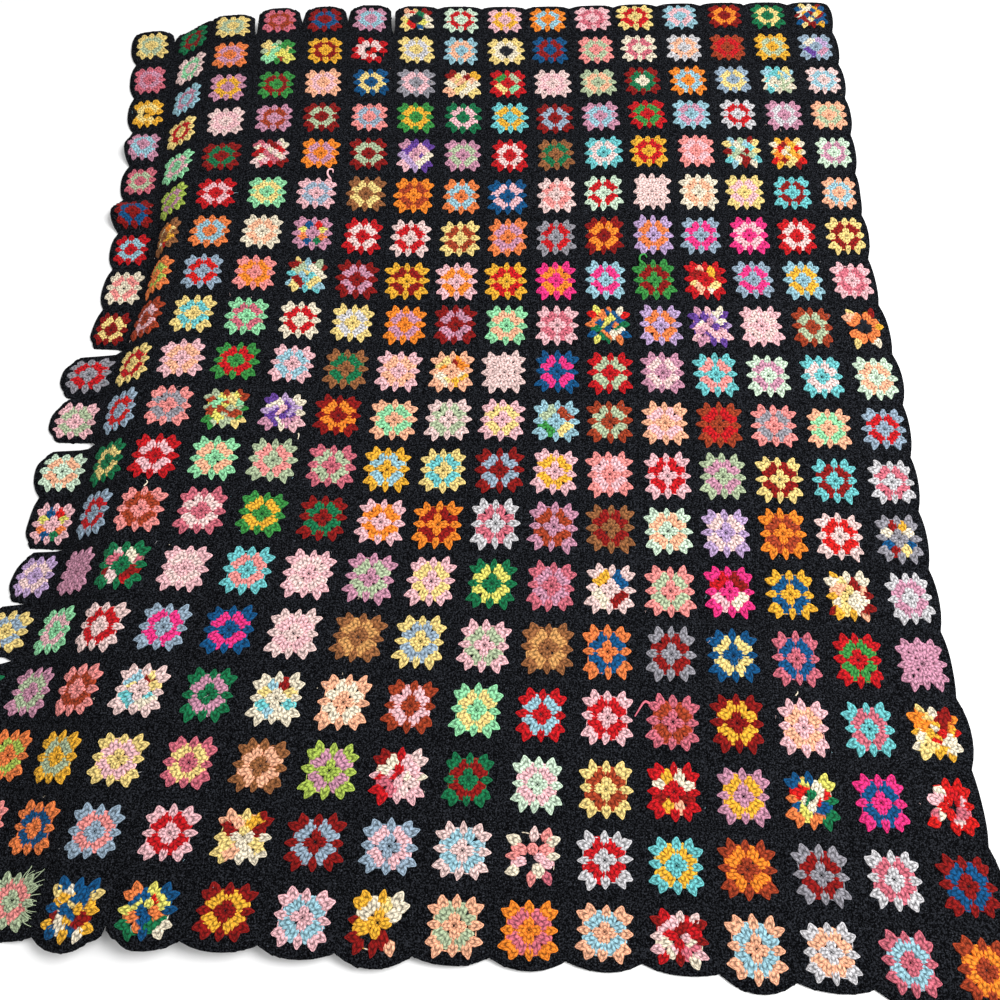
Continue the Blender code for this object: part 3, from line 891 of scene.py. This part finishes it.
def start_tree(name, sizes):
    """An empty geometry tree with its named sizes, and what it is given."""
    tree = bpy.data.node_groups.new(name, "GeometryNodeTree")
    for label, kind in (("Places", "NodeSocketGeometry"), *sizes, ("Wool", "NodeSocketMaterial")):
        tree.interface.new_socket(label, in_out="INPUT", socket_type=kind)
    tree.interface.new_socket("Crochet", in_out="OUTPUT", socket_type="NodeSocketGeometry")
    return tree, tree.nodes.new("NodeGroupInput").outputs


def ruffled(tree, geometry):
    """Every stitch pulled a little out of shape, so that no two are alike."""
    here = node(tree, "GeometryNodeInputPosition").outputs[0]
    pull = node(tree, "ShaderNodeTexNoise", {
        "Vector": here, "Scale": 1.0 / RUFFLE_SPAN, "Detail": 0.0,
    }).outputs[1]
    centred = vector_calc(tree, "SUBTRACT", {0: pull, 1: (0.5, 0.5, 0.5)})
    offset = vector_calc(tree, "SCALE", {0: centred, "Scale": RUFFLE})
    return node(tree, "GeometryNodeSetPosition", {"Geometry": geometry, "Offset": offset}).outputs[0]


def finish_tree(tree, geometry, wool, ruffle=False):
    """Makes the stitches real, smooth and woollen."""
    real = node(tree, "GeometryNodeRealizeInstances", {"Geometry": geometry}).outputs[0]
    if ruffle:
        real = ruffled(tree, real)
    smooth = node(tree, "GeometryNodeSetShadeSmooth", {"Geometry": real}).outputs[0]
    woollen = node(tree, "GeometryNodeSetMaterial", {
        "Geometry": smooth, "Material": wool,
    }).outputs[0]
    node(tree, "NodeGroupOutput", {"Crochet": woollen})
    return tree


def named(tree, name, kind="FLOAT"):
    """An attribute that the places carry."""
    reader = node(tree, "GeometryNodeInputNamedAttribute", {"Name": name}, data_type=kind)
    return reader.outputs["Attribute"]


def bunch_tree():
    """A bunch of posts gathered to its tip, worked at every place: a closed, domed leaf."""
    tree, given = start_tree("bunches of posts", (
        ("Posts", "NodeSocketFloat"), ("Points across", "NodeSocketInt"),
        ("Points along", "NodeSocketInt"), ("Base share", "NodeSocketFloat"),
        ("Widest at", "NodeSocketFloat"), ("Tip share", "NodeSocketFloat"),
        ("Taper", "NodeSocketFloat"), ("Rise", "NodeSocketFloat"),
        ("Tip drop", "NodeSocketFloat"), ("Groove", "NodeSocketFloat"),
        ("Eye", "NodeSocketFloat"), ("Unevenness", "NodeSocketFloat"), ("Seed", "NodeSocketInt"),
    ))
    grid = node(tree, "GeometryNodeMeshGrid", {
        "Size X": 2.0, "Size Y": 1.0,
        "Vertices X": given["Points across"], "Vertices Y": given["Points along"],
    }).outputs["Mesh"]
    position = node(tree, "GeometryNodeInputPosition").outputs[0]
    here = node(tree, "ShaderNodeSeparateXYZ", {0: position}).outputs
    across = here["X"]
    along = half_wave(tree, product(tree, calc(tree, "ADD", here["Y"], 0.5), math.pi))

    opening = spread(tree, along, 0.0, given["Widest at"], given["Base share"], 1.0, "SMOOTHSTEP")
    past_widest = spread(tree, along, given["Widest at"], 1.0, 0.0, 1.0)
    closing = calc(tree, "POWER", past_widest, given["Taper"])
    gathered = product(tree, closing, left_by(tree, given["Tip share"]))
    half_width = product(tree, opening, left_by(tree, gathered), 0.5)

    beside = calc(tree, "ABSOLUTE", across)
    rounded = left_by(tree, calc(tree, "POWER", beside, SQUARENESS))
    between = half_wave(tree, product(tree, given["Posts"], math.pi, across))
    grooved = left_by(tree, product(tree, between, given["Groove"]))
    off_dip = calc(tree, "ABSOLUTE", calc(tree, "SUBTRACT", along, DIP_ALONG))
    reaches = [product(tree, beside, DIP_STEEPNESS[0]), product(tree, off_dip, DIP_STEEPNESS[1])]
    dip = calc(tree, "MAXIMUM", left_by(tree, calc(tree, "MAXIMUM", *reaches)), 0.0)
    sunk = left_by(tree, product(tree, dip, given["Eye"]))
    rise = spread(tree, along, 0.0, given["Rise"], 0.0, 1.0)
    dropped = calc(tree, "POWER", along, given["Tip drop"])
    fall = calc(tree, "MULTIPLY_ADD", dropped, TIP_HEIGHT - 1.0, 1.0)
    height = product(tree, rounded, product(tree, grooved, sunk), rise, fall)

    placed = combined(tree, X=product(tree, across, half_width), Y=along, Z=height)
    known = combined(tree, X=across, Y=along, Z=given["Eye"])
    marked = node(tree, "GeometryNodeStoreNamedAttribute", {
        "Geometry": grid, "Name": "stitch", "Value": known,
    }, data_type="FLOAT_VECTOR", domain="POINT").outputs[0]
    leaf = node(tree, "GeometryNodeSetPosition", {"Geometry": marked, "Position": placed}).outputs[0]

    faces_on_edge = node(tree, "GeometryNodeInputMeshEdgeNeighbors").outputs[0]
    rim = node(tree, "FunctionNodeCompare", {2: faces_on_edge, 3: 1}, data_type="INT", operation="EQUAL")
    around = node(tree, "GeometryNodeMeshToCurve", {"Mesh": leaf, "Selection": rim.outputs[0]}).outputs[0]
    filled = node(tree, "GeometryNodeFillCurve", {"Curve": around}, mode="NGONS").outputs[0]
    under = node(tree, "GeometryNodeFlipFaces", {"Mesh": filled}).outputs[0]
    both = node(tree, "GeometryNodeJoinGeometry", {"Geometry": leaf})
    tree.links.new(under, both.inputs[0])
    closed = node(tree, "GeometryNodeMergeByDistance", {
        "Geometry": both.outputs[0], "Distance": BUNCH_WELD,
    }).outputs[0]

    askew = node(tree, "FunctionNodeRandomValue", {
        2: product(tree, given["Unevenness"], -1.0), 3: given["Unevenness"], "Seed": given["Seed"],
    }).outputs[1]
    turned = combined(tree, Z=calc(tree, "ADD", named(tree, "turn"), askew))
    plump = node(tree, "FunctionNodeRandomValue", {
        0: PLUMP_LEAST, 1: PLUMP_MOST, "Seed": given["Seed"],
    }, data_type="FLOAT_VECTOR").outputs[0]
    size = vector_calc(tree, "MULTIPLY", {0: named(tree, "stretch", "FLOAT_VECTOR"), 1: plump})
    worked = node(tree, "GeometryNodeInstanceOnPoints", {
        "Points": given["Places"], "Instance": closed, "Rotation": turned, "Scale": size,
    }).outputs[0]
    return finish_tree(tree, worked, given["Wool"], ruffle=True)


def ground_tree():
    """One flat patch for every square."""
    tree, given = start_tree("ground", (("Cells", "NodeSocketInt"), ("Size", "NodeSocketFloat")))
    corners = calc(tree, "ADD", given["Cells"], 1.0)
    patch = node(tree, "GeometryNodeMeshGrid", {
        "Size X": given["Size"], "Size Y": given["Size"],
        "Vertices X": corners, "Vertices Y": corners,
    }).outputs["Mesh"]
    patches = node(tree, "GeometryNodeInstanceOnPoints", {
        "Points": given["Places"], "Instance": patch,
    }).outputs[0]
    return finish_tree(tree, patches, given["Wool"])


def strand_tree():
    """Round strands of yarn along smooth lines, closed at both ends."""
    tree, given = start_tree("strands", (("Sides", "NodeSocketInt"), ("Steps", "NodeSocketInt")))
    line = node(tree, "GeometryNodeMeshToCurve", {"Mesh": given["Places"]}).outputs[0]
    smooth = node(tree, "GeometryNodeCurveSplineType", {"Curve": line}, spline_type="CATMULL_ROM")
    stepped = node(tree, "GeometryNodeSetSplineResolution", {
        "Geometry": smooth.outputs[0], "Resolution": given["Steps"],
    }).outputs[0]
    ring = node(tree, "GeometryNodeCurvePrimitiveCircle", {
        "Resolution": given["Sides"], "Radius": 1.0,
    }).outputs[0]
    tube = node(tree, "GeometryNodeCurveToMesh", {
        "Curve": stepped, "Profile Curve": ring, "Scale": named(tree, "thickness"), "Fill Caps": True,
    }).outputs[0]
    return finish_tree(tree, tube, given["Wool"])


def grown(piece, tree, **sizes):
    """Runs a tree on a piece with these sizes, and keeps the result as its plain mesh."""
    modifier = piece.modifiers.new("crochet", "NODES")
    modifier.node_group = tree
    for item in tree.interface.items_tree:
        if item.in_out == "INPUT" and item.name != "Places":
            modifier[item.identifier] = sizes[item.name.replace(" ", "_").lower()]
    view = bpy.context.evaluated_depsgraph_get()
    mesh = bpy.data.meshes.new_from_object(piece.evaluated_get(view))
    piece.modifiers.remove(modifier)
    piece.data = mesh
    return piece


# ---- Wool ----


def start_wool(name, gloss, sheen):
    """A material with its shader, and a place to read the crochet's own marks."""
    material = bpy.data.materials.new(name)
    material.use_nodes = True
    tree = material.node_tree
    shader = tree.nodes["Principled BSDF"]
    shader.inputs["Roughness"].default_value = WOOL_ROUGHNESS
    shader.inputs["Specular IOR Level"].default_value = gloss
    shader.inputs["Sheen Weight"].default_value = sheen
    shader.inputs["Sheen Roughness"].default_value = SHEEN_ROUGHNESS
    place = node(tree, "ShaderNodeTexCoord").outputs["Object"]
    return material, tree, shader, place


def mark(tree, name):
    """An attribute of the crochet, read by a material."""
    return node(tree, "ShaderNodeAttribute", attribute_name=name).outputs


def noise(tree, place, scale, detail=2.0):
    """Unevenness with features of about one over scale, in metres, from 0 to 1."""
    look = {"Vector": place, "Scale": scale, "Detail": detail}
    return node(tree, "ShaderNodeTexNoise", look).outputs[0]


def mixed(tree, share, first, second, way="MIX"):
    """Two colours mixed by a share."""
    mixer = node(tree, "ShaderNodeMix", data_type="RGBA", blend_type=way)
    for name, value in (("Factor", share), ("A", first), ("B", second)):
        socket = next(s for s in mixer.inputs if s.name == name and s.enabled)
        if isinstance(value, bpy.types.NodeSocket):
            tree.links.new(value, socket)
        else:
            socket.default_value = value
    return next(s for s in mixer.outputs if s.enabled)


def bumped(tree, shader, height, distance, strength):
    """Fine relief on the shader."""
    relief = {"Height": height, "Distance": distance, "Strength": strength}
    tree.links.new(node(tree, "ShaderNodeBump", relief).outputs[0], shader.inputs["Normal"])


def yarn_shade(tree, place, posts, strands, groove_shade, tucked_shade):
    """How bright each spot of a bunch is: painted shade between its posts, between the strands
    wound round them, in its eye, at its base and on its rim, and a random tone of its fibres.
    """
    stitch = node(tree, "ShaderNodeSeparateXYZ", {0: mark(tree, "stitch")["Vector"]}).outputs
    along = stitch["Y"]
    stray = noise(tree, place, WANDER_SCALE)
    wander = calc(tree, "MULTIPLY_ADD", stray, POST_WANDER, -0.5 * POST_WANDER)
    across = calc(tree, "ADD", stitch["X"], wander)
    # Painted shade in the grooves between the posts, fading in after the base and out before the tip.
    ridge = calc(tree, "COSINE", product(tree, across, posts * math.pi))
    past_base = spread(tree, along, *GROOVE_SHADE_AFTER_BASE)
    before_tip = spread(tree, along, *GROOVE_SHADE_BEFORE_TIP)
    in_groove = spread(tree, ridge, -1.0, 0.0, groove_shade, 0.0)
    groove = product(tree, in_groove, product(tree, past_base, before_tip))
    # Painted shade between the strands wound round the posts.
    turns = product(tree, along, 2.0 * math.pi * strands)
    wound = calc(tree, "MULTIPLY_ADD", calc(tree, "ABSOLUTE", across), STRAND_SLANT, turns)
    on_strand = spread(tree, calc(tree, "SINE", wound), *SHADE_BETWEEN_STRANDS)
    # Painted shade in the eye, the hole between the posts.
    eye_across = calc(tree, "DIVIDE", across, EYE_REACH[0])
    eye_along = calc(tree, "DIVIDE", calc(tree, "SUBTRACT", along, EYE_ALONG), EYE_REACH[1])
    squared = [calc(tree, "POWER", part, 2.0) for part in (eye_across, eye_along)]
    from_eye = calc(tree, "SQRT", calc(tree, "ADD", *squared))
    eye = product(tree, spread(tree, from_eye, *EYE_PAINTED_SHADE), stitch["Z"])
    # Painted shade at the base, tucked under the round inside, and on the rim near the base.
    tucked = spread(tree, along, *TUCKED_SHADE_UNTIL, tucked_shade, 1.0)
    near_base = spread(tree, along, *RIM_SHADE_UNTIL, 1.0 - tucked_shade, 0.0)
    rim = spread(tree, calc(tree, "ABSOLUTE", stitch["X"]), *RIM_PAINTED_SHADE)
    off_rim = left_by(tree, product(tree, rim, near_base))
    coarse = spread(tree, noise(tree, place, COARSE_SCALE), *COARSE_WEAR)
    fine = spread(tree, noise(tree, place, FINE_SCALE), *FINE_WEAR)
    on_post, off_eye = left_by(tree, groove), left_by(tree, eye)
    return stitch, product(tree, on_post, on_strand, off_eye, tucked, off_rim, coarse, fine)


def coloured_wool():
    """Plied wool in each bunch's own colours, with painted shade between its posts and strands."""
    material, tree, shader, place = start_wool("coloured_wool", gloss=0.12, sheen=0.03)
    stitch, shade = yarn_shade(tree, place, posts=3.0, strands=3.0, groove_shade=0.62, tucked_shade=0.30)
    slanted = calc(tree, "MULTIPLY_ADD", stitch["X"], CHANGE_SLANT, stitch["Y"])
    change = spread(tree, slanted, *COLOUR_CHANGE, 0.0, 1.0)
    yarn = mixed(tree, change, mark(tree, "yarn")["Color"], mark(tree, "yarn_tip")["Color"])
    uneven = spread(tree, noise(tree, place, DYE_SCALE, detail=1.0), *DYE_TONE)
    # The yarn's colour is darkened by the painted shade and given a random tone.
    tone = product(tree, shade, uneven)
    grey = combined(tree, X=tone, Y=tone, Z=tone)
    tree.links.new(mixed(tree, 1.0, yarn, grey, "MULTIPLY"), shader.inputs["Base Color"])
    bumped(tree, shader, shade, distance=0.0012, strength=0.8)
    return material


def black_wool():
    """Dense near-black wool with a random grain, painted shade in its crevices
    and painted highlights on its crests.
    """
    material, tree, shader, place = start_wool("black_wool", gloss=0.04, sheen=0.0)
    shade = yarn_shade(tree, place, posts=4.0, strands=5.0, groove_shade=0.70, tucked_shade=0.62)[1]
    grain = spread(tree, noise(tree, place, GRAIN_SCALE), *BLACK_GRAIN)
    # Painted highlight on the crests and painted shade in the crevices, times the wool's random grain.
    crest = product(tree, shade, shade, grain)
    colour = mixed(tree, crest, (*BLACK_SHADE_AND_DARK_FLECKS, 1.0), (*BLACK_HIGHLIGHT_AND_PALE_FLECKS, 1.0))
    tree.links.new(colour, shader.inputs["Base Color"])
    bumped(tree, shader, crest, distance=0.0020, strength=0.9)
    return material


# ---- The pieces ----


def ground_piece(wool):
    """The black crochet that carries the bunches: one closed sheet with open slits."""
    rows = [
        {"co": (*square_middle(square), GROUND_LIFT), "square": square}
        for square in range(COLUMNS * ROWS)
    ]
    piece = grown(
        places_object("blanket_ground", rows), ground_tree(),
        cells=GROUND_CELLS, size=SQUARE, wool=wool,
    )
    lay(piece.data)
    shape = bmesh.new()
    shape.from_mesh(piece.data)
    bmesh.ops.remove_doubles(shape, verts=shape.verts, dist=WELD)
    shape.to_mesh(piece.data)
    shape.free()
    walls = piece.modifiers.new("thickness", "SOLIDIFY")
    walls.thickness = GROUND_THICKNESS
    walls.offset = 0.0
    view = bpy.context.evaluated_depsgraph_get()
    mesh = bpy.data.meshes.new_from_object(piece.evaluated_get(view))
    piece.modifiers.remove(walls)
    piece.data = mesh
    return piece


def stitched_piece(name, rows, tree, wool, **shape):
    """A piece made of one bunch or stitch at every place, laid on the fold."""
    piece = grown(places_object(name, rows), tree, wool=wool, **shape)
    lay(piece.data)
    return piece


# What each bunch's tree is given: shares of its length and width, and powers of its curves.
POST_BUNCH = dict(
    posts=3.0, points_across=7, points_along=6, base_share=0.46, widest_at=0.45, tip_share=0.15,
    taper=1.45, rise=0.26, tip_drop=8.0, groove=0.36, eye=0.60, unevenness=0.12,
)
STITCH_SHAPE = dict(
    POST_BUNCH, posts=0.0, points_across=3, points_along=4, base_share=0.5, widest_at=0.5,
    tip_share=0.35, taper=1.5, rise=0.12, tip_drop=5.0, groove=0.0, eye=0.0,
)
BUNCH_SHAPES = {
    "centre": dict(POST_BUNCH, base_share=0.50, widest_at=0.60, tip_share=0.42, taper=1.8, eye=0.20),
    "second": dict(POST_BUNCH, base_share=0.66, widest_at=0.62, tip_share=0.50, taper=2.4, eye=0.25),
    "corner": POST_BUNCH,
    "side": POST_BUNCH,
    "chain": dict(STITCH_SHAPE, base_share=0.8, tip_share=0.8),
    "black": dict(
        POST_BUNCH, points_across=4, points_along=4, posts=0.0, base_share=0.70, widest_at=0.6,
        tip_share=0.80, taper=1.5, rise=0.12, tip_drop=9.0, eye=0.0, groove=0.0,
    ),
}


def dress_blanket():
    """The whole blanket, piece by piece."""
    coloured, black = coloured_wool(), black_wool()
    squares = deal_squares()
    tree = bunch_tree()
    ground = ground_piece(black)
    pieces = []
    for number, (round_name, shape) in enumerate(BUNCH_SHAPES.items()):
        dark = round_name == "black"
        piece = stitched_piece(
            f"{round_name}_round", bunch_places(round_name, squares), tree,
            black if dark else coloured, seed=number, **shape,
        )
        pieces.append(piece)
    for name, rows in (("seam_stitches", seam_places()), ("edge_stitches", edge_places())):
        piece = stitched_piece(name, rows, tree, black, seed=len(pieces), **STITCH_SHAPE)
        pieces.append(piece)
    tree = strand_tree()
    for name, strands, sides, steps in (
        ("loose_ends", [*LOOSE_ENDS, *fray_strands()], 6, 4), ("lint", lint_strands(), 3, 2),
    ):
        piece = grown(strands_object(name, strands), tree, sides=sides, steps=steps, wool=coloured)
        lay(piece.data)
        pieces.append(piece)
    for piece in [ground, *pieces]:
        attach(piece, "root")
    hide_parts("blanket")
    return ground, pieces


# ---- Floor, light and camera ----


def pale_floor():
    """A plain pale floor, well past the blanket."""
    mesh = bpy.data.meshes.new("floor")
    reach = FLOOR_REACH
    corners = [(-reach, -reach, 0), (reach, -reach, 0), (reach, reach, 0), (-reach, reach, 0)]
    mesh.from_pydata(corners, [], [(0, 1, 2, 3)])
    floor = bpy.data.objects.new("floor", mesh)
    bpy.context.scene.collection.objects.link(floor)
    material = bpy.data.materials.new("pale_floor")
    material.use_nodes = True
    shader = material.node_tree.nodes["Principled BSDF"]
    shader.inputs["Base Color"].default_value = (FLOOR_GREY, FLOOR_GREY, FLOOR_GREY, 1.0)
    shader.inputs["Roughness"].default_value = FLOOR_ROUGHNESS
    mesh.materials.append(material)


def soft_light(name, place, size, power):
    """A square lamp that looks at the middle of the blanket."""
    lamp = bpy.data.lights.new(name, "AREA")
    lamp.size = size
    lamp.energy = power
    holder = bpy.data.objects.new(name, lamp)
    bpy.context.scene.collection.objects.link(holder)
    holder.location = place
    holder.rotation_euler = (-Vector(place)).to_track_quat("-Z", "Y").to_euler()


def light_room():
    """Even studio light, with a strong soft lamp on the right and a faint one on the left."""
    world = bpy.data.worlds.new("studio")
    world.use_nodes = True
    background = world.node_tree.nodes["Background"]
    background.inputs["Color"].default_value = (1.0, 1.0, 1.0, 1.0)
    background.inputs["Strength"].default_value = STUDIO_STRENGTH
    bpy.context.scene.world = world
    for lamp in rows_of(LAMP_FIELDS, LAMPS):
        soft_light(**lamp)


def place_camera():
    """The view of someone who stands at the near edge and looks down."""
    camera = bpy.data.cameras.new("camera")
    camera.lens = CAMERA_LENS
    camera.sensor_width = CAMERA_SENSOR
    holder = bpy.data.objects.new("camera", camera)
    bpy.context.scene.collection.objects.link(holder)
    holder.location = CAMERA_PLACE
    holder.rotation_euler = [math.radians(angle) for angle in CAMERA_TURN]
    bpy.context.scene.camera = holder


pale_floor()
ground, stitches = dress_blanket()
light_room()
place_camera()
bpy.context.scene.view_settings.view_transform = "Standard"
